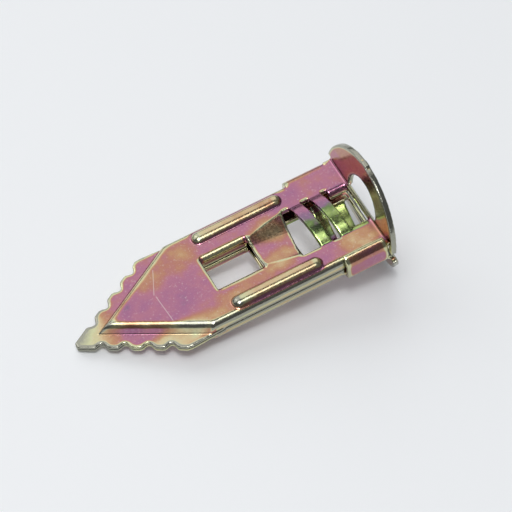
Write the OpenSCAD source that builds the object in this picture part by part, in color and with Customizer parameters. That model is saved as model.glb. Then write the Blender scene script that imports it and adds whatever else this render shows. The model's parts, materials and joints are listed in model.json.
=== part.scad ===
// Drive-in drywall anchor: two stamped steel half shells, one turned half a turn
// about the long axis against the other and crimped together at the neck.
// Each shell is one sheet: a serrated blade, a raised pointed panel, a channel body
// with two beads, a row of cross straps that grip the screw, and half a flange.
// The shells are drawn along +X from the tip, with the seam between them at Z = 0,
// then the anchor is laid down as it rests: on its tip and on the flange rim.

/* [Sheet] */
// Thickness of the steel sheet
sheet_t = 0.65; // [0.5:0.05:0.75]
// Thickness of the blade, which the press coins thinner than the sheet
blade_t = 0.4; // [0.3:0.05:0.6]
// Clearance between the two shells where they do not press together
shell_gap = 0.06; // [0.03:0.01:0.1]

/* [Body] */
// Distance from the tip to the flange, at the bend
body_len = 35.1; // [34:0.5:44]
// Width over the side walls
body_w = 12.5; // [11.5:0.1:13]
// Height over both panels
body_h = 3.0; // [2.8:0.1:3.4]
// Outer radius between a panel and its side walls
wall_r = 0.8; // [0.7:0.05:1]

/* [Blade] */
// Half of the angle at the tip, in degrees
tip_angle = 30.7; // [28:0.5:33]
// Width of the blunt end of the tip
tip_w = 0.7; // [0.4:0.1:1]
// Greatest width of the blade
blade_w = 13.2; // [12.8:0.1:14]
// Place along the axis where the blade edge has run into the body
blade_end = 15.0; // [14.5:0.1:16]
// Number of scallops along each edge
scallops = 4; // [2:1:4]
// Distance between scallops along the edge
scallop_pitch = 2.54; // [2.2:0.02:2.7]
// Width of a scallop along the edge
scallop_w = 1.8; // [1.2:0.1:2]
// Depth of a scallop
scallop_depth = 0.62; // [0.2:0.02:0.7]
// Distance from the tip to the middle of the first scallop, along the edge
scallop_start = 2.87; // [2.2:0.01:3.2]
// Distance by which the scallops of the two edges are staggered
scallop_stagger = 0.44; // [0:0.02:0.8]

/* [Raised panel] */
// Distance from the tip to the nose of the raised panel
nose_x = 3.8; // [3.4:0.1:4.5]
// Slope of the panel's side walls, in degrees
ridge_slope = 63; // [50:1:75]
// Outer radius along the panel's upper edges
ridge_r = 0.95; // [0.8:0.05:1.1]

/* [Beads] */
// Distance from the tip to the beads
bead_start = 16.6; // [16.2:0.1:18]
// Length of a bead
bead_len = 11.3; // [8:0.1:11.8]
// Distance of a bead from the axis
bead_y = 4.85; // [4.5:0.05:4.9]
// Radius of a bead
bead_r = 0.95; // [0.8:0.05:1]
// Height of a bead above the panel
bead_h = 0.5; // [0.3:0.05:0.6]

/* [Window] */
// Distance from the tip to the window
window_x = 16.35; // [16:0.05:17]
// Length of the window
window_len = 5.75; // [4:0.05:6]
// Clear width between the window's folded lips
window_w = 3.9; // [3:0.1:4]
// Depth of the lips below the panel's outer face
lip_h = 1.35; // [1:0.05:1.4]
// Inner radius of the lips' fold
lip_r = 0.15; // [0.1:0.05:0.3]

/* [Ramp band] */
// Length of the band that is pressed in to spread the shells
band_len = 4.55; // [3.5:0.05:4.7]
// Depth of the band at the end nearer the tip
band_in = 0.3; // [0.2:0.05:0.4]
// Depth of the band at the end nearer the flange
band_out = 0.78; // [0.6:0.02:0.8]
// Radius of the band's hollow
band_r = 6.2; // [6:0.1:7]
// Distance by which one end of the band's edge nearer the flange leads the other
band_skew = 0.7; // [0:0.05:0.9]

/* [Screw straps] */
// Half of the width of the row of straps
strap_y = 3.15; // [3:0.05:3.25]
// Number of straps
straps = 2; // [1:1:2]
// Place of the first strap's edge along the axis, at mid-width
strap_x = 28.25; // [28:0.05:28.6]
// Width of a strap along the axis
strap_w = 1.45; // [1.2:0.05:1.7]
// Pitch of the straps
strap_pitch = 2.5; // [2.3:0.05:2.6]
// Offset of a strap's ends from its middle, one towards the tip, one towards the head
strap_lead = 0.34; // [0:0.02:0.5]
// Height of a strap's arch above the panel
strap_h = 0.95; // [0.3:0.05:1.1]
// Distance by which the lower shell's straps stand nearer the flange
strap_stagger = 1.9; // [0:0.05:2]

/* [Neck] */
// Length of the opening behind the flange
neck_open = 2.2; // [1.6:0.1:2.4]
// Depth of the lips along the neck opening below the panel's outer face
neck_lip_h = 0.85; // [0.85:0.05:1.35]
// Width along the axis of the web between that opening and the screw opening
web_w = 0.45; // [0.35:0.05:0.6]
// Half of the width of the tongue at the bend
tongue_y = 6.7; // [6.4:0.05:6.9]

/* [Crimp tabs] */
// Length of a tab along the axis
tab_len = 5.0; // [4:0.1:5.2]
// Distance of the upper shell's tab from the bend into the flange
tab_upper_back = 0.8; // [0.2:0.05:1.2]
// Distance of the lower shell's tab from the bend into the flange
tab_lower_back = 0.05; // [0.05:0.05:1.2]
// Distance of the tabs' outer face from the axis
tab_y = 7.1; // [7.05:0.05:7.2]
// Outer radius of the tabs' folds
tab_r = 1.25; // [1:0.05:1.4]
// Reach of the tabs' hems over the other shell's edge, from its outer face inwards
tab_hem = 0.3; // [0.2:0.05:0.6]

/* [Flange] */
// Diameter of the flange
flange_d = 15; // [14.8:0.1:17]
// Angle by which each half of the flange leans back from square, in degrees
flange_lean = 9; // [0:1:12]
// Inner radius of the bend into the flange
bend_r = 0.3; // [0.2:0.05:0.5]
// Radius of the screw opening in each half
hole_r = 3.0; // [2.7:0.05:3.3]
// Distance by which the screw opening stands to one side of the axis
hole_shift = 0.45; // [0:0.05:0.6]
// Height of the screw opening's centre above the bend's end
hole_rise = 0.2; // [0:0.05:0.3]
// Width of the shear nub on the rim
nub_w = 1.0; // [0.6:0.1:1.4]
// Height of the shear nub above the rim
nub_h = 0.15; // [0.05:0.05:0.3]
// Distance from the seam at which the corners of each half end
corner_gap = 0.3; // [0.15:0.05:0.6]

/* [Hidden] */
$fn = 64;

steel = "#B98AA8";
margin = 0.2;
panel_z = body_h / 2;
inner_z = panel_z - sheet_t;
side_y = body_w / 2;
far_out = 60;
deep = 2;

// How the blade's shoulders are eased, and how far the blade roots into the body
shoulder_run = 0.8;
shoulder_back = 0.25;
ease = 0.1;
root = 0.4;
// Clearance between a corner of the flange half and the bend beside it
corner_clear = 0.05;

// The bend into the flange: its centre, its end and where the flange plate starts
bend_x = body_len - bend_r;
bend_z = panel_z + bend_r;
plate_x = bend_x + bend_r * cos(flange_lean);
plate_z = bend_z - bend_r * sin(flange_lean);
axis_drop = plate_z / cos(flange_lean);
rim_reach = flange_d / 2 + nub_h - axis_drop;

// The fold along the raised panel's edge, as [offset, Z], drawn inwards by the given depth
ridge_steps = 8;
function ridge_arc(inset) =
    let (tangent = ridge_r * tan(ridge_slope / 2), r = ridge_r - inset)
    [for (i = [0 : ridge_steps]) let (a = 90 - ridge_slope * i / ridge_steps)
        [-tangent + r * cos(a), panel_z - ridge_r + r * sin(a)]];

// The rest position: the lower rim's nub on the ground, with the corner of the lower
// panel or the tip edge, whichever meets it first; origin under the middle
rim_x = plate_x + rim_reach * sin(flange_lean);
rim_z = plate_z + rim_reach * cos(flange_lean);
corner_tilts = [for (p = ridge_arc(0))
    atan((rim_z - p[1]) / (rim_x - nose_x + p[0] / sin(tip_angle)))];
rest_tilt = min(concat([atan((rim_z - blade_t) / rim_x)], corner_tilts));
head_x = rim_x + sheet_t * cos(flange_lean);
head_z = rim_z - sheet_t * sin(flange_lean);
front_x = -blade_t * sin(rest_tilt);
back_x = head_x * cos(rest_tilt) + head_z * sin(rest_tilt);

// The band between the window and the straps
band_x = window_x + window_len;
band_tilt = atan((band_out - band_in) / band_len);
neck_x = bend_x - neck_open;

// Depth of the scallops at s, the distance along a blade edge from the tip
function dent(s, start) =
    let (nearest = min(max(round((s - start) / scallop_pitch), 0), scallops - 1),
         away = abs(s - start - nearest * scallop_pitch))
    away > scallop_w / 2 ? 0 : scallop_depth / 2 * (1 + cos(360 * away / scallop_w));
// A point on a blade edge: side is 1 or -1, and lead is 1 on the shell whose left edge lags
function edge_point(s, side, lead) =
    let (d = dent(s, scallop_start + side * lead * scallop_stagger / 2))
    [s * cos(tip_angle) + d * sin(tip_angle),
     side * (tip_w / 2 + s * sin(tip_angle) - d * cos(tip_angle))];

// The blade edge up to its shoulder, where it rounds over into the run down to the body
edge_len = (blade_w - tip_w) / 2 / sin(tip_angle);
edge_step = scallop_w / 12;
edge_s = [for (s = [0 : edge_step : edge_len - shoulder_run]) s];

module blade_outline(lead) {
    n = len(edge_s);
    corner_x = edge_len * cos(tip_angle);
    right = [for (i = [0 : n - 1]) edge_point(edge_s[i], -1, lead)];
    left = [for (i = [0 : n - 1]) edge_point(edge_s[n - 1 - i], 1, lead)];
    polygon(concat(
        right,
        [[corner_x - shoulder_back, -blade_w / 2 + ease], [corner_x + root, -blade_w / 2]],
        [[blade_end, -side_y - ease], [blade_end + root, -side_y + wall_r]],
        [[blade_end + root, side_y - wall_r], [blade_end, side_y + ease]],
        [[corner_x + root, blade_w / 2], [corner_x - shoulder_back, blade_w / 2 - ease]],
        left));
}

// Turns a profile drawn in (Y, Z) into a bar along X
module along_x(from, to) {
    translate([from, 0, 0]) rotate([90, 0, 90]) linear_extrude(to - from) children();
}

// Turns a profile drawn in (X, Z) into a bar along Y, centred on the axis
module along_y(width) {
    rotate([90, 0, 0]) linear_extrude(width, center = true) children();
}

// Section of the channel, drawn inwards by the given depth
module channel_section(inset) {
    r = wall_r - inset;
    half = side_y - inset;
    top = panel_z - inset;
    translate([-half, -deep]) square([2 * half, deep + top - r]);
    translate([-half + r, -deep]) square([2 * (half - r), deep + top]);
    for (side = [-1, 1]) translate([side * (half - r), top - r]) circle(r);
}

// Section across one sloping wall of the raised panel, drawn inwards by the given depth
module ridge_section(inset) {
    arc = ridge_arc(inset);
    foot = arc[ridge_steps];
    polygon(concat(
        [[-far_out, -deep], [-far_out, panel_z - inset]],
        arc,
        [[foot[0] + (foot[1] + deep) / tan(ridge_slope), -deep]]));
}

module ridge(side, inset) {
    mirror([0, side < 0 ? 1 : 0, 0])
        translate([nose_x, 0, 0])
            rotate([0, 0, tip_angle])
                rotate([90, 0, 90])
                    linear_extrude(2 * far_out, center = true) ridge_section(inset);
}

// The solid under the raised panel and the channel, drawn inwards by the given depth
module channel(inset, to) {
    intersection() {
        ridge(1, inset);
        ridge(-1, inset);
        along_x(0, to) channel_section(inset);
    }
}

// A bead is a round bar with ball ends, half sunk in the panel
module bead(radius) {
    z = panel_z + bead_h - bead_r;
    reach = bead_len - 2 * bead_r;
    for (side = [-1, 1])
        translate([bead_start + bead_r, side * bead_y, z]) {
            rotate([0, 90, 0]) cylinder(r = radius, h = reach);
            sphere(radius);
            translate([reach, 0, 0]) sphere(radius);
        }
}

// Cylinder along X that leans down towards the flange by the band's slope
module band_roll(radius) {
    translate([band_x, 0, panel_z + band_r - band_in])
        rotate([0, 90 + band_tilt, 0])
            cylinder(r = radius, h = 4 * band_len, center = true, $fn = 96);
}

// The ramp band: the panel pressed in as a shallow hollow that deepens to the flange
module ramp_band() {
    reach = strap_y + margin;
    skew = band_skew / 2 * reach / strap_y;
    end_x = band_x + band_len;
    intersection() {
        difference() {
            linear_extrude(panel_z)
                polygon([[band_x, -reach], [end_x - skew, -reach],
                         [end_x + skew, reach], [band_x, reach]]);
            band_roll(band_r);
        }
        union() {
            translate([band_x - margin, -2 * reach, inner_z])
                cube([band_len + band_skew + 2 * margin, 4 * reach, deep]);
            band_roll(band_r + sheet_t);
        }
    }
}

// One strap: an arched strip whose ends are offset, so that it follows the screw's thread
module strap(index, stagger) {
    x = strap_x + stagger + index * strap_pitch;
    reach = strap_y + margin;
    skew = strap_lead * reach / strap_y;
    arch_r = (strap_y * strap_y + strap_h * strap_h) / (2 * strap_h);
    intersection() {
        along_x(x - strap_lead - margin, x + strap_w + strap_lead + margin)
            translate([0, panel_z + strap_h - arch_r])
                difference() {
                    circle(arch_r, $fn = 128);
                    circle(arch_r - sheet_t, $fn = 128);
                }
        linear_extrude(panel_z + strap_h + margin)
            polygon([[x - skew, reach], [x + strap_w - skew, reach],
                     [x + strap_w + skew, -reach], [x + skew, -reach]]);
    }
}

// Section of a lip folded down along an opening: half is the clear half width
module lip_section(half, depth) {
    r = lip_r + sheet_t;
    top = panel_z - r;
    bottom = panel_z - depth;
    translate([half, bottom]) square([sheet_t, top - bottom]);
    intersection() {
        translate([half + r, top]) difference() {
            circle(r);
            circle(lip_r);
        }
        translate([half, top]) square(r);
    }
    translate([half + r, inner_z]) square([margin, sheet_t]);
}

module lips(from, to, half, depth) {
    for (side = [0, 1])
        mirror([0, side, 0]) along_x(from, to) lip_section(half, depth);
}

// The crimp tab: the panel carried out past the wall, down and under the other shell
module tab_section() {
    bottom = -panel_z - shell_gap - sheet_t;
    difference() {
        tab_block(0, panel_z, bottom);
        tab_block(sheet_t, panel_z, bottom);
        translate([0, -far_out]) square([side_y - tab_hem, far_out]);
    }
}

module tab_block(inset, top, bottom) {
    r = tab_r - inset;
    start = side_y - wall_r - margin;
    translate([start, bottom + inset]) square([tab_y - inset - r - start, top - bottom - 2 * inset]);
    translate([start, bottom + inset + r])
        square([tab_y - inset - start, top - bottom - 2 * inset - 2 * r]);
    translate([tab_y - inset - r, top - inset - r]) circle(r);
    translate([tab_y - inset - r, bottom + inset + r]) circle(r);
}

// Room that the tab needs in its own shell's wall, which ends where the tab starts
module tab_room(from) {
    translate([from, side_y - wall_r - margin, -deep])
        cube([body_len, wall_r + 2 * margin, deep + inner_z]);
}

// Section of the bend from the tongue into the flange plate
module bend_section() {
    r = bend_r + sheet_t;
    intersection() {
        translate([bend_x, bend_z]) difference() {
            circle(r);
            circle(bend_r);
        }
        translate([bend_x, bend_z])
            polygon([[0, 0], [0, -deep], [deep, -deep], [deep, -deep * tan(flange_lean)]]);
    }
}

// Outline of half the flange in its own plane, with Y up from the bend's end
module flange_outline() {
    drop = (plate_z - corner_gap) / cos(flange_lean);
    intersection() {
        translate([0, -axis_drop]) circle(flange_d / 2, $fn = 128);
        translate([-far_out, 0]) square([2 * far_out, far_out]);
    }
    intersection() {
        translate([0, -axis_drop]) circle(flange_d / 2, $fn = 128);
        translate([-tongue_y - corner_clear - deep, -drop]) square([deep, drop + margin]);
    }
    translate([-nub_w / 2, rim_reach - nub_h - margin]) square([nub_w, nub_h + margin]);
}

// Turns a profile drawn in the flange's own plane into a plate, from back to front
module on_flange(back, front) {
    translate([plate_x, 0, plate_z])
        rotate([0, flange_lean, 0])
            translate([back, 0, 0])
                rotate([90, 0, 90])
                    linear_extrude(front - back) children();
}

// The screw opening: a half round through the plate, carried down through the bend to the web
module screw_opening() {
    on_flange(-margin, sheet_t + margin) intersection() {
        translate([-hole_shift, hole_rise]) circle(hole_r);
        translate([-hole_r - hole_shift, 0]) square([2 * hole_r, far_out]);
    }
    translate([bend_x + web_w, -hole_shift - hole_r, panel_z - deep])
        cube([deep, 2 * hole_r, deep + plate_z - panel_z + margin]);
}

module flange_half() {
    difference() {
        union() {
            along_y(2 * tongue_y) bend_section();
            on_flange(0, sheet_t) flange_outline();
        }
        screw_opening();
    }
}

// Everything cut through the panel between the raised panel and the flange
module panel_cuts() {
    lip_edge = window_w / 2 + lip_r + sheet_t;
    translate([window_x, -lip_edge, 0]) cube([window_len, 2 * lip_edge, deep]);
    translate([band_x, -strap_y, 0]) cube([bend_x - band_x, 2 * strap_y, deep]);
}

// One half shell in its own place, with its crimp tab ending tab_back before the bend
module shell(tab_back, lead, stagger) {
    tab_to = bend_x - tab_back;
    tab_from = tab_to - tab_len;
    difference() {
        union() {
            linear_extrude(blade_t) blade_outline(lead);
            channel(0, bend_x);
            intersection() {
                bead(bead_r);
                translate([0, -side_y, inner_z]) cube([body_len, body_w, deep]);
            }
        }
        channel(sheet_t, body_len + 1);
        bead(bead_r - sheet_t);
        tab_room(tab_from);
        panel_cuts();
        translate([-deep, -far_out, -far_out]) cube([far_out, 2 * far_out, far_out]);
        translate([blade_end + root, -far_out, -deep])
            cube([far_out, 2 * far_out, deep + shell_gap / 2]);
    }
    along_x(tab_from, tab_to) tab_section();
    translate([tab_to, side_y - wall_r, inner_z])
        cube([bend_x - tab_to, tongue_y - side_y + wall_r, sheet_t]);
    lips(window_x, band_x, window_w / 2, lip_h);
    ramp_band();
    for (i = [0 : straps - 1]) strap(i, stagger);
    lips(neck_x, bend_x, strap_y - lip_r - sheet_t, neck_lip_h);
    flange_half();
}

module laid_down() {
    translate([-(front_x + back_x) / 2, 0, rim_z * cos(rest_tilt) - rim_x * sin(rest_tilt)])
        rotate([0, -rest_tilt, 0]) children();
}

module upper_shell() {
    color(steel) laid_down() shell(tab_upper_back, 1, 0);
}

module lower_shell() {
    color(steel) laid_down() rotate([180, 0, 0]) shell(tab_lower_back, -1, strap_stagger);
}

upper_shell();
lower_shell();
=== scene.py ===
"""Looks of a drive-in drywall anchor: two stamped half shells, yellow chromated, lying on a pale floor."""
import json
import logging
import math
from dataclasses import dataclass
from enum import Enum
from typing import Any

import bmesh
import bpy
import numpy as np
from mathutils import Euler, Matrix, Vector


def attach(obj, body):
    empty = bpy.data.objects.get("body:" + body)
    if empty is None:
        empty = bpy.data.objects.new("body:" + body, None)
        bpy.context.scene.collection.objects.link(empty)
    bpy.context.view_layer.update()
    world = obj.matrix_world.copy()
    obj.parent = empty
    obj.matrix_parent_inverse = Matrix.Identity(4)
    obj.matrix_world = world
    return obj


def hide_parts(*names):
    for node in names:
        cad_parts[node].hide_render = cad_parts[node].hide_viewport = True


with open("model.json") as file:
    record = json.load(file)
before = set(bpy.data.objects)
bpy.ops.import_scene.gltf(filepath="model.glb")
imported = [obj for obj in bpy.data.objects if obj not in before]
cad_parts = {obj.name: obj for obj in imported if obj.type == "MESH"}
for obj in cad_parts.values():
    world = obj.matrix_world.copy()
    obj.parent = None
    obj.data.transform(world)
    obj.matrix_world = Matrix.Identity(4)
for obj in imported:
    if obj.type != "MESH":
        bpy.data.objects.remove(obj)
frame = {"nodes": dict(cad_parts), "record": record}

log = logging.getLogger("drywall_anchor")

MM = 0.001
BODY = "root"

# The anchor's own frame, in mm: X from the tip to the flange, Z = 0 on the seam between the shells.
# The screw enters along that X axis, at this distance from the tip.
SCREW_ENTRY_X = 35.75
PANEL_Z = 1.5
STRAPS_FROM, STRAPS_TO = 27.2, 34.6
TAB_FOLD_Y = 6.45


class ShellSide(Enum):
    """Which of the two stampings a piece is: the value turns Y and Z into the stamping's own frame."""

    UPPER = 1
    LOWER = -1


def linear(hex_code: str) -> tuple[float, float, float, float]:
    """Turns an sRGB hex colour into linear light.

    Args:
        hex_code: the colour as six hex digits after a number sign.

    Returns:
        Red, green, blue and an alpha of 1.
    """
    digits = hex_code.lstrip("#")
    parts = [int(digits[i:i + 2], 16) / 255 for i in (0, 2, 4)]
    light = [c / 12.92 if c <= 0.04045 else ((c + 0.055) / 1.055) ** 2.4 for c in parts]
    return (light[0], light[1], light[2], 1.0)


def add_node(tree: bpy.types.NodeTree, kind: str, settings: dict[str, Any] | None = None,
             **inputs: Any) -> bpy.types.Node:
    """Adds a shader node, sets it up and links it.

    Args:
        tree: the node tree that gets the node.
        kind: the node's Blender type name.
        settings: properties of the node itself.
        inputs: a constant or an output socket for each input, by its name in lower case with
            underscores, or by its number as in i0.

    Returns:
        The new node.
    """
    node = tree.nodes.new(kind)
    for name, value in (settings or {}).items():
        setattr(node, name, value)
    by_name = {s.name.lower().replace(" ", "_"): s for s in reversed(node.inputs)}
    for name, value in inputs.items():
        is_number = name[0] == "i" and name[1:].isdigit()
        socket = node.inputs[int(name[1:])] if is_number else by_name[name]
        if isinstance(value, bpy.types.NodeSocket):
            tree.links.new(value, socket)
        else:
            socket.default_value = value
    return node


@dataclass
class AnchorAxis:
    """Place of the anchor's own frame in the row frame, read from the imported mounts."""

    tip: Vector
    along: Vector

    @classmethod
    def from_record(cls, record: dict[str, Any]) -> "AnchorAxis":
        """Finds the axis from the screw entry mount.

        Args:
            record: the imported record.

        Returns:
            The axis, with the tip's place in metres.
        """
        entry = next(m for m in record["mounts"] if m["name"] == "screw_entry")
        along = Vector(entry["axis"]).normalized()
        return cls(Vector(entry["pos_m"]) - along * SCREW_ENTRY_X * MM, along)

    @property
    def tilt(self) -> float:
        """Angle by which the axis rises towards the flange, in radians."""
        return math.atan2(self.along.z, self.along.x)

    def to_local(self) -> Matrix:
        """Matrix from the row frame in metres to the anchor's own frame in mm."""
        turn = Matrix.Rotation(self.tilt, 4, "Y")
        return Matrix.Scale(1 / MM, 4) @ turn @ Matrix.Translation(-self.tip)


def smoothstep(low: float, high: float, value: np.ndarray) -> np.ndarray:
    """Rises smoothly from 0 at low to 1 at high.

    Args:
        low: where the rise starts.
        high: where it ends.
        value: the values to map.

    Returns:
        The mapped values, from 0 to 1.
    """
    t = np.clip((value - low) / (high - low), 0, 1)
    return t * t * (3 - 2 * t)


@dataclass(frozen=True)
class Scratch:
    """A fine scratch on the upper panel, from start to end in the anchor's own X and Y, in mm."""

    start: tuple[float, float]
    end: tuple[float, float]
    half_width: float = 0.07
    core: float = 0.3
    strength: float = 0.5


@dataclass(frozen=True)
class FilmPatch:
    """A place where the bath left the film thicker or thinner, in the shell's own X and Y, in mm."""

    centre: tuple[float, float]
    radius: tuple[float, float]
    change: float

    def share(self, x: np.ndarray, y: np.ndarray) -> np.ndarray:
        """Gives the change at each point, which fades out at the patch's edge.

        Args:
            x: places along the shell.
            y: places across the shell.

        Returns:
            The change in the film's thickness.
        """
        away = np.hypot((x - self.centre[0]) / self.radius[0], (y - self.centre[1]) / self.radius[1])
        return self.change * (1 - smoothstep(0.3, 1.0, away))


@dataclass(frozen=True)
class YellowChromate:
    """Zinc plated steel with an iridescent yellow chromate film.

    The film is thinnest on bends and cut edges, where it looks yellow green, and runs through gold,
    rose and violet to green as it thickens on the flats. The pale thin-film colours also serve as
    painted highlights on bends and a painted reflection on the side walls and the flange.
    """

    name: str = "yellow_chromate_on_zinc_plated_steel"
    film_colours: tuple[tuple[float, str], ...] = (
        (0.00, "#A0A092"),
        (0.14, "#CCCDA4"),
        (0.28, "#CFBA92"),
        (0.40, "#BC9270"),
        (0.50, "#B47E70"),
        (0.60, "#B2788A"),
        (0.72, "#A6708E"),
        (0.82, "#8A6E88"),
        (0.90, "#6C8252"),
        (1.00, "#A8BC74"),
    )
    bare_colour: str = "#DCD0CC"
    roughness: float = 0.19
    drift_mm: float = 4.0
    patch_mm: float = 1.3
    grain_mm: float = 0.25
    streak_mm: float = 0.16
    streak_stretch: float = 0.10
    streak_share: float = 0.9
    fleck_mm: float = 0.24
    fleck_range: tuple[float, float] = (0.58, 0.74)
    fleck_strength: float = 0.32
    drift_share: float = 0.20
    patch_share: float = 0.13
    grain_range: tuple[float, float] = (0.35, 0.7)
    roughness_spread: tuple[float, float] = (-0.05, 0.08)
    relief_strength: float = 0.30
    relief_mm: float = 0.010
    scratches: tuple[Scratch, ...] = (
        Scratch((11.35, 3.7), (10.0, 0.7)),
        Scratch((10.1, 0.4), (10.35, -3.7)),
    )

    def build(self, axis: AnchorAxis) -> bpy.types.Material:
        """Builds the material.

        Args:
            axis: the anchor's own frame, which the patterns are laid out in.

        Returns:
            The material, which reads the attribute film of each piece.
        """
        material = bpy.data.materials.new(self.name)
        material.use_nodes = True
        tree = material.node_tree
        tree.nodes.clear()
        place = add_node(tree, "ShaderNodeTexCoord")
        move = axis.to_local()
        local = add_node(tree, "ShaderNodeMapping", {"vector_type": "POINT"},
                         vector=place.outputs["Object"], location=move.to_translation(),
                         rotation=Euler((0, axis.tilt, 0)), scale=(1 / MM,) * 3).outputs[0]
        drift = self._noise(tree, local, self.drift_mm, 2.0)
        patch = self._noise(tree, local, self.patch_mm, 4.0)
        grain = self._noise(tree, local, self.grain_mm, 2.0)
        fleck = self._noise(tree, local, self.fleck_mm, 3.0)
        # The film attribute carries the film's thickness together with painted highlights on bends and a
        # painted reflection on walls and flange.
        film = add_node(tree, "ShaderNodeAttribute", {"attribute_name": "film"}).outputs["Fac"]
        film = self._add_share(tree, film, drift, self.drift_share)
        film = self._add_share(tree, film, patch, self.patch_share)
        colour = self._film_ramp(tree, film)
        bare = self._map_range(tree, fleck, self.fleck_range, (0.0, self.fleck_strength))
        for scratch in self.scratches:
            line = self._scratch(tree, local, scratch)
            bare = self._maths(tree, "MAXIMUM", bare, line)
        colour = add_node(tree, "ShaderNodeMix", {"data_type": "RGBA"}, i0=bare, i6=colour,
                          i7=linear(self.bare_colour)).outputs[2]
        smoothest, roughest = (self.roughness + change for change in self.roughness_spread)
        rough = self._map_range(tree, grain, self.grain_range, (smoothest, roughest))
        drawn = add_node(tree, "ShaderNodeMapping", {"vector_type": "POINT"}, vector=local,
                         scale=(self.streak_stretch, 1.0, 1.0)).outputs[0]
        streak = self._noise(tree, drawn, self.streak_mm, 2.0)
        relief = self._maths(tree, "MULTIPLY_ADD", streak, self.streak_share, grain)
        bump = add_node(tree, "ShaderNodeBump", strength=self.relief_strength,
                        distance=self.relief_mm * MM, height=relief)
        shader = add_node(tree, "ShaderNodeBsdfPrincipled", base_color=colour, metallic=1.0,
                          roughness=rough, normal=bump.outputs[0])
        add_node(tree, "ShaderNodeOutputMaterial", surface=shader.outputs[0])
        return material

    def _noise(self, tree: bpy.types.NodeTree, place: bpy.types.NodeSocket, size_mm: float,
               detail: float) -> bpy.types.NodeSocket:
        """Adds a noise whose blotches have the given size.

        Args:
            tree: the material's tree.
            place: coordinates in mm.
            size_mm: size of a blotch.
            detail: number of finer octaves.

        Returns:
            The noise's value, around 0.5.
        """
        return add_node(tree, "ShaderNodeTexNoise", vector=place, scale=1 / size_mm,
                        detail=detail, roughness=0.55).outputs[0]

    def _add_share(self, tree: bpy.types.NodeTree, value: bpy.types.NodeSocket,
                   noise: bpy.types.NodeSocket, share: float) -> bpy.types.NodeSocket:
        """Adds a share of a noise, taken around its middle, to a value."""
        centred = self._maths(tree, "SUBTRACT", noise, 0.5)
        return self._maths(tree, "MULTIPLY_ADD", centred, 2 * share, value)

    def _film_ramp(self, tree: bpy.types.NodeTree,
                   film: bpy.types.NodeSocket) -> bpy.types.NodeSocket:
        """Turns the film's thickness into its interference colour."""
        node = add_node(tree, "ShaderNodeValToRGB", fac=film)
        ramp = node.color_ramp
        while len(ramp.elements) < len(self.film_colours):
            ramp.elements.new(0.5)
        for element, (place, colour) in zip(ramp.elements, self.film_colours):
            element.position = place
            element.color = linear(colour)
        return node.outputs[0]

    def _scratch(self, tree: bpy.types.NodeTree, place: bpy.types.NodeSocket,
                 scratch: Scratch) -> bpy.types.NodeSocket:
        """Draws one scratch on the upper panel.

        Args:
            tree: the material's tree.
            place: coordinates in mm.
            scratch: the scratch.

        Returns:
            Its strength on the line's middle, falling to 0 at its edge.
        """
        a, b = Vector(scratch.start), Vector(scratch.end)
        middle, run = (a + b) / 2, b - a
        turned = add_node(tree, "ShaderNodeMapping", {"vector_type": "TEXTURE"}, vector=place,
                          location=(middle.x, middle.y, PANEL_Z),
                          rotation=Euler((0, 0, math.atan2(run.y, run.x))))
        part = add_node(tree, "ShaderNodeSeparateXYZ", vector=turned.outputs[0])
        along, across, up = (self._maths(tree, "ABSOLUTE", part.outputs[i]) for i in range(3))
        past = self._maths(tree, "MAXIMUM", self._maths(tree, "SUBTRACT", along, run.length / 2), 0.0)
        away = self._maths(tree, "ADD", self._maths(tree, "ADD", past, across), up)
        return self._map_range(tree, away, (scratch.core * scratch.half_width, scratch.half_width),
                               (scratch.strength, 0.0))

    def _map_range(self, tree: bpy.types.NodeTree, value: bpy.types.NodeSocket,
                   source: tuple[float, float], target: tuple[float, float]) -> bpy.types.NodeSocket:
        """Maps a value from one range to another and holds it there.

        Args:
            tree: the material's tree.
            value: the value to map.
            source: the range it comes from.
            target: the range it goes to.

        Returns:
            The mapped value.
        """
        return add_node(tree, "ShaderNodeMapRange", value=value, from_min=source[0],
                        from_max=source[1], to_min=target[0], to_max=target[1]).outputs[0]

    def _maths(self, tree: bpy.types.NodeTree, operation: str, *values: Any) -> bpy.types.NodeSocket:
        """Adds one sum on the given values."""
        inputs = {f"i{i}": value for i, value in enumerate(values)}
        return add_node(tree, "ShaderNodeMath", {"operation": operation}, **inputs).outputs[0]


@dataclass(frozen=True)
class FilmByPlace:
    """How the film's thickness, from 0 to 1, changes over a shell; places are in mm.

    Each pair of places is where a change begins and where it is complete.
    """

    flats: float = 0.64
    tip_thinning: float = 0.55
    tip_fade: tuple[float, float] = (1.0, 6.5)
    # Outward bends get a paler colour: partly a thinner film, partly a painted highlight.
    bend_thinning_and_painted_highlight: float = 0.50
    bend_curl: tuple[float, float] = (0.18, 0.75)
    # Side walls get a paler colour: partly a thinner film, partly a painted reflection of the bright
    # floor.
    wall_thinning_and_painted_reflection: float = 0.38
    wall_y: tuple[float, float] = (5.7, 6.2)
    wall_from: float = 14.0
    below_panel: float = 0.2
    strap_film: float = 0.70
    strap_thickening: float = 0.28
    strap_y: tuple[float, float] = (2.6, -0.6)
    strap_half_width: float = 3.2
    strap_depth: float = 0.5
    flange_x: tuple[float, float] = (34.9, 35.3)
    flange_thinning: float = 0.16
    # The flange turns paler and more golden towards -Y, the near side on the upper shell: partly film
    # colour, partly a painted reflection.
    flange_side_thinning_and_painted_reflection: float = 0.18
    flange_y: tuple[float, float] = (3.0, -2.0)


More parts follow.
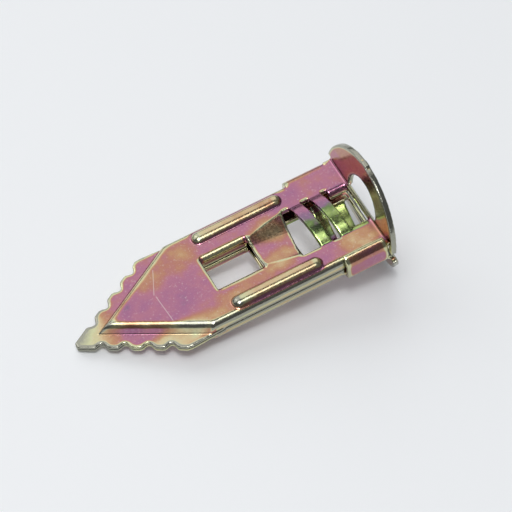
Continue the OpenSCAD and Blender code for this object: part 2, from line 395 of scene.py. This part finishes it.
@dataclass
class StampedShell:
    """One half of the anchor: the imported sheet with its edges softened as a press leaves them."""

    node: str
    side: ShellSide
    weld_mm: float = 0.001
    grid_depth: int = 9
    grid_share: float = 0.64
    smooth_passes: int = 4
    curl_passes: int = 6
    film: FilmByPlace = FilmByPlace()
    patches: tuple[FilmPatch, ...] = (
        FilmPatch((13.8, 3.6), (3.8, 3.0), -0.19),
        FilmPatch((10.4, 2.2), (2.4, 2.0), -0.14),
        FilmPatch((17.2, -4.8), (3.4, 2.4), -0.18),
        FilmPatch((20.5, -3.4), (6.0, 1.2), -0.14),
        FilmPatch((24.6, 1.8), (3.0, 2.2), -0.24),
        FilmPatch((24.4, -2.0), (3.2, 2.2), -0.24),
        FilmPatch((28.0, 4.8), (3.0, 2.0), 0.08),
        FilmPatch((33.0, -4.4), (3.6, 2.4), -0.26),
        FilmPatch((9.5, -5.2), (7.5, 2.2), -0.42),
    )

    def build(self, axis: AnchorAxis, finish: bpy.types.Material) -> bpy.types.Object:
        """Makes the shell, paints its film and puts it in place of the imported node.

        Args:
            axis: the anchor's own frame.
            finish: the plating.

        Returns:
            The finished piece.
        """
        piece = self._soften(f"{self.node}_stamping", axis)
        self._paint(piece.data, axis)
        piece.data.materials.clear()
        piece.data.materials.append(finish)
        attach(piece, BODY)
        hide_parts(self.node)
        log.info("%s: %d faces", piece.name, len(piece.data.polygons))
        return piece

    def _soften(self, name: str, axis: AnchorAxis) -> bpy.types.Object:
        """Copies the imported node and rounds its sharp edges.

        The faces are evened out while the anchor lies level, so that they follow its long edges.

        Args:
            name: name of the new piece.
            axis: the anchor's own frame.

        Returns:
            The piece, at the origin.
        """
        mesh = frame["nodes"][self.node].data.copy()
        mesh.name = name
        level = Matrix.Rotation(axis.tilt, 4, "Y")
        mesh.transform(level)
        piece = bpy.data.objects.new(name, mesh)
        bpy.context.scene.collection.objects.link(piece)
        sheet = bmesh.new()
        sheet.from_mesh(mesh)
        bmesh.ops.remove_doubles(sheet, verts=sheet.verts, dist=self.weld_mm * MM)
        bmesh.ops.recalc_face_normals(sheet, faces=sheet.faces)
        sheet.to_mesh(mesh)
        sheet.free()
        remesh = piece.modifiers.new("even_faces", "REMESH")
        remesh.mode = "SHARP"
        remesh.octree_depth = self.grid_depth
        remesh.scale = self.grid_share
        remesh.sharpness = 1.0
        remesh.use_remove_disconnected = False
        remesh.use_smooth_shade = True
        finished = bpy.data.meshes.new_from_object(
            piece.evaluated_get(bpy.context.evaluated_depsgraph_get()))
        piece.modifiers.clear()
        piece.data = finished
        finished.name = name
        bpy.data.meshes.remove(mesh)
        sheet = bmesh.new()
        sheet.from_mesh(finished)
        for _ in range(self.smooth_passes):
            bmesh.ops.smooth_vert(sheet, verts=sheet.verts, factor=0.5, use_axis_x=True,
                                  use_axis_y=True, use_axis_z=True)
        sheet.to_mesh(finished)
        sheet.free()
        finished.transform(level.inverted())
        finished.shade_smooth()
        return piece

    def _curl(self, mesh: bpy.types.Mesh) -> np.ndarray:
        """Measures how tightly the surface bends outwards at each vertex, in 1/mm."""
        count = len(mesh.vertices)
        place = np.empty(count * 3, np.float32)
        mesh.vertices.foreach_get("co", place)
        place = place.reshape(-1, 3) / MM
        normal = np.empty(count * 3, np.float32)
        mesh.vertices.foreach_get("normal", normal)
        normal = normal.reshape(-1, 3)
        edge = np.empty(len(mesh.edges) * 2, np.int32)
        mesh.edges.foreach_get("vertices", edge)
        a, b = edge.reshape(-1, 2).T
        step = place[b] - place[a]
        bend = np.einsum("ij,ij->i", normal[b] - normal[a], step)
        bend /= np.maximum(np.einsum("ij,ij->i", step, step), 1e-9)
        share = np.maximum(np.bincount(a, minlength=count) + np.bincount(b, minlength=count), 1)
        curl = (np.bincount(a, bend, count) + np.bincount(b, bend, count)) / share
        for _ in range(self.curl_passes):
            spread = np.bincount(a, curl[b], count) + np.bincount(b, curl[a], count)
            curl = 0.5 * curl + 0.5 * spread / share
        return curl

    def _paint(self, mesh: bpy.types.Mesh, axis: AnchorAxis) -> None:
        """Lays the film's thickness on the mesh as an attribute, with painted highlights on outward bends
        and a painted reflection on the side walls and the flange.

        Args:
            mesh: the softened mesh.
            axis: the anchor's own frame.
        """
        count = len(mesh.vertices)
        place = np.empty(count * 3, np.float32)
        mesh.vertices.foreach_get("co", place)
        move = np.array(axis.to_local())
        local = place.reshape(-1, 3) @ move[:3, :3].T + move[:3, 3]
        x, y, z = local[:, 0], local[:, 1] * self.side.value, local[:, 2] * self.side.value
        curl = self._curl(mesh)
        rule = self.film
        film = np.full(count, rule.flats)
        film -= rule.tip_thinning * (1 - smoothstep(*rule.tip_fade, x))
        for patch in self.patches:
            film += patch.share(x, y)
        # Paler colour on outward bends: partly thinner film, partly a painted highlight.
        film -= rule.bend_thinning_and_painted_highlight * smoothstep(*rule.bend_curl, curl)
        # Paler colour on the side walls: partly thinner film, partly a painted reflection of the bright
        # floor.
        on_wall = (np.abs(z) < PANEL_Z - rule.below_panel) & (x > rule.wall_from)
        on_wall &= np.abs(y) < TAB_FOLD_Y
        film -= rule.wall_thinning_and_painted_reflection * smoothstep(*rule.wall_y, np.abs(y)) * on_wall
        on_straps = (z > PANEL_Z - rule.strap_depth) & (np.abs(y) < rule.strap_half_width)
        on_straps &= (x > STRAPS_FROM) & (x < STRAPS_TO)
        strap = rule.strap_film + rule.strap_thickening * smoothstep(*rule.strap_y, y)
        film = np.where(on_straps, strap, film)
        # Paler, more golden flange towards -Y: partly film colour, partly a painted reflection.
        across = rule.flange_thinning + rule.flange_side_thinning_and_painted_reflection * smoothstep(*rule.flange_y, y)
        film -= smoothstep(*rule.flange_x, x) * across
        # The attribute holds the film's thickness together with the painted highlights and painted
        # reflection laid on above.
        attribute = mesh.attributes.new("film", "FLOAT", "POINT")
        attribute.data.foreach_set("value", film.astype(np.float32))


@dataclass
class PaleFloor:
    """The plain matt floor that the anchor lies on."""

    half_size: float = 1.5
    colour: str = "#EEF0F2"
    shadow_lift: float = 0.078
    roughness: float = 0.9
    sheen: float = 0.2

    def build(self) -> bpy.types.Object:
        """Makes the floor, which is not attached to the anchor."""
        mesh = bpy.data.meshes.new("pale_floor")
        sheet = bmesh.new()
        bmesh.ops.create_grid(sheet, x_segments=1, y_segments=1, size=self.half_size)
        sheet.to_mesh(mesh)
        sheet.free()
        floor = bpy.data.objects.new("pale_floor", mesh)
        bpy.context.scene.collection.objects.link(floor)
        mesh.materials.append(self._paper())
        log.info("floor: %.1f m wide", 2 * self.half_size)
        return floor

    def _paper(self) -> bpy.types.Material:
        """Builds a matt paper material, whose shadows stay pale where the eye or the metal sees them."""
        material = bpy.data.materials.new("matt_paper")
        material.use_nodes = True
        tree = material.node_tree
        tree.nodes.clear()
        path = add_node(tree, "ShaderNodeLightPath").outputs
        seen = path["Is Camera Ray"]
        for ray in ("Is Glossy Ray", "Is Transmission Ray"):
            seen = add_node(tree, "ShaderNodeMath", {"operation": "MAXIMUM"}, i0=seen,
                            i1=path[ray]).outputs[0]
        lift = add_node(tree, "ShaderNodeMath", {"operation": "MULTIPLY"}, i0=seen,
                        i1=self.shadow_lift).outputs[0]
        shader = add_node(tree, "ShaderNodeBsdfPrincipled", base_color=linear(self.colour),
                          roughness=self.roughness, specular_ior_level=self.sheen,
                          emission_color=linear(self.colour), emission_strength=lift)
        add_node(tree, "ShaderNodeOutputMaterial", surface=shader.outputs[0])
        return material


@dataclass(frozen=True)
class SoftBox:
    """A square lamp with an even face."""

    name: str
    place: tuple[float, float, float]
    size: float
    brightness: float

    def build(self, aim: Vector) -> bpy.types.Object:
        """Hangs the lamp and turns it to a point.

        Args:
            aim: the point that the lamp faces.

        Returns:
            The lamp.
        """
        data = bpy.data.lights.new(self.name, "AREA")
        data.shape = "SQUARE"
        data.size = self.size
        data.energy = self.brightness * math.pi * self.size ** 2
        lamp = bpy.data.objects.new(self.name, data)
        lamp.location = self.place
        lamp.rotation_euler = (aim - Vector(self.place)).to_track_quat("-Z", "Y").to_euler()
        bpy.context.scene.collection.objects.link(lamp)
        return lamp


@dataclass
class Studio:
    """Soft light from a bright key box, a wide ceiling box, a far box and a side box in a dim room."""

    room_colour: str = "#B4B6BA"
    room_strength: float = 0.32
    aim: tuple[float, float, float] = (0.0, 0.0, 5.0 * MM)
    boxes: tuple[SoftBox, ...] = (
        SoftBox("key_box", (-0.168, -0.226, 0.640), 0.11, 31.0),
        SoftBox("ceiling_box", (-0.19, -0.16, 0.66), 0.40, 3.0),
        SoftBox("far_box", (0.02, 0.50, 0.45), 0.84, 0.88),
        SoftBox("side_box", (-0.40, 0.38, 0.42), 0.50, 0.85),
    )

    def build(self) -> None:
        """Lights the scene, with every lamp turned to one point in the anchor."""
        world = bpy.data.worlds.new("dim_room")
        world.use_nodes = True
        tree = world.node_tree
        tree.nodes.clear()
        room = add_node(tree, "ShaderNodeBackground", color=linear(self.room_colour),
                        strength=self.room_strength)
        add_node(tree, "ShaderNodeOutputWorld", surface=room.outputs[0])
        bpy.context.scene.world = world
        for box in self.boxes:
            box.build(Vector(self.aim))
        bpy.context.scene.view_settings.view_transform = "Standard"
        log.info("lamps: %d", len(self.boxes))


@dataclass
class StillCamera:
    """The camera, which looks down on the anchor from the tip's side: degrees, metres, lens in mm."""

    aim: tuple[float, float, float] = (3.53 * MM, 0.97 * MM, 4.0 * MM)
    azimuth: float = -122.49
    elevation: float = 50.53
    roll: float = 6.32
    distance: float = 0.3299
    lens: float = 210.94
    sensor: float = 36.0
    nearest: float = 10.0 * MM

    def build(self) -> bpy.types.Object:
        """Places the camera and makes it the scene's own."""
        data = bpy.data.cameras.new("still_camera")
        data.sensor_width = self.sensor
        data.lens = self.lens
        data.clip_start = self.nearest
        camera = bpy.data.objects.new("still_camera", data)
        level, turn = math.radians(self.elevation), math.radians(self.azimuth)
        outwards = Vector((math.cos(level) * math.cos(turn), math.cos(level) * math.sin(turn),
                           math.sin(level)))
        upright = outwards.to_track_quat("Z", "Y")
        spin = Matrix.Rotation(math.radians(self.roll), 3, "Z")
        camera.matrix_world = Matrix.LocRotScale(
            Vector(self.aim) + outwards * self.distance, upright.to_matrix() @ spin, None)
        bpy.context.scene.collection.objects.link(camera)
        bpy.context.scene.camera = camera
        log.info("camera: %.0f mm lens", self.lens)
        return camera


def main() -> None:
    """Builds the anchor, its floor, its light and its camera, in that order."""
    logging.basicConfig(level=logging.INFO, format="%(name)s %(message)s")
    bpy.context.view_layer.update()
    axis = AnchorAxis.from_record(frame["record"])
    plating = YellowChromate().build(axis)
    StampedShell("upper_shell", ShellSide.UPPER).build(axis, plating)
    StampedShell("lower_shell", ShellSide.LOWER).build(axis, plating)
    PaleFloor().build()
    Studio().build()
    StillCamera().build()


if __name__ == "__main__":
    main()
